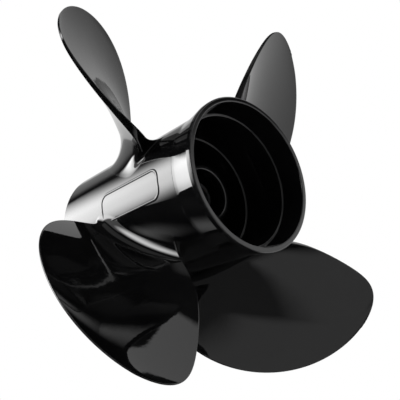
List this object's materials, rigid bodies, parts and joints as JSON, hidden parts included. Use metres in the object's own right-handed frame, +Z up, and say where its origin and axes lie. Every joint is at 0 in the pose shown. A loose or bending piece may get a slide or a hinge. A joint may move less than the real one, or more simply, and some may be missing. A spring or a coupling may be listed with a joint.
{
  "type": "boat propeller",
  "caption": "Outboard boat propeller with broad swept blades on a through-hub exhaust barrel with a flared outlet rim and a splined, cushioned drive hub inside.",
  "frame": {"origin": "centre of the shaft bore's mouth, on the shaft axis at the front face of the splined adapter", "axes": "+Y along the shaft, forward, the way the boat goes ahead; +Z up; +X to starboard. Ahead rotation is positive about +Y."},
  "size_m": [0.3326, 0.169, 0.3326],
  "materials": {
    "painted_casting": "gloss",
    "drive_plastic": "satin",
    "bronze": "satin",
    "brass": "satin",
    "black_steel": "satin",
    "nylon": "satin"
  },
  "bodies": {
    "drive_hub": {"thrust_hub": "bronze", "splined_adapter": "brass", "rear_spacer": "black_steel", "tab_washer": "black_steel", "prop_nut": "black_steel", "nut_locking_insert": "nylon"},
    "propeller": {"barrel": "painted_casting", "inner_hub": "painted_casting", "web_upper_starboard": "painted_casting", "web_lower_starboard": "painted_casting", "web_lower_port": "painted_casting", "web_upper_port": "painted_casting", "blade_upper_starboard": "painted_casting", "blade_lower_starboard": "painted_casting", "blade_lower_port": "painted_casting", "blade_upper_port": "painted_casting", "drive_sleeve": "drive_plastic"}
  },
  "joints": [
    {"name": "hub_cushion", "type": "hinge", "parent": "drive_hub", "child": "propeller", "pos_m": [0, 0, 0], "axis": [0, 1, 0], "range_deg": [-8, 8], "stiffness_Nm_per_rad": 300}
  ]
}
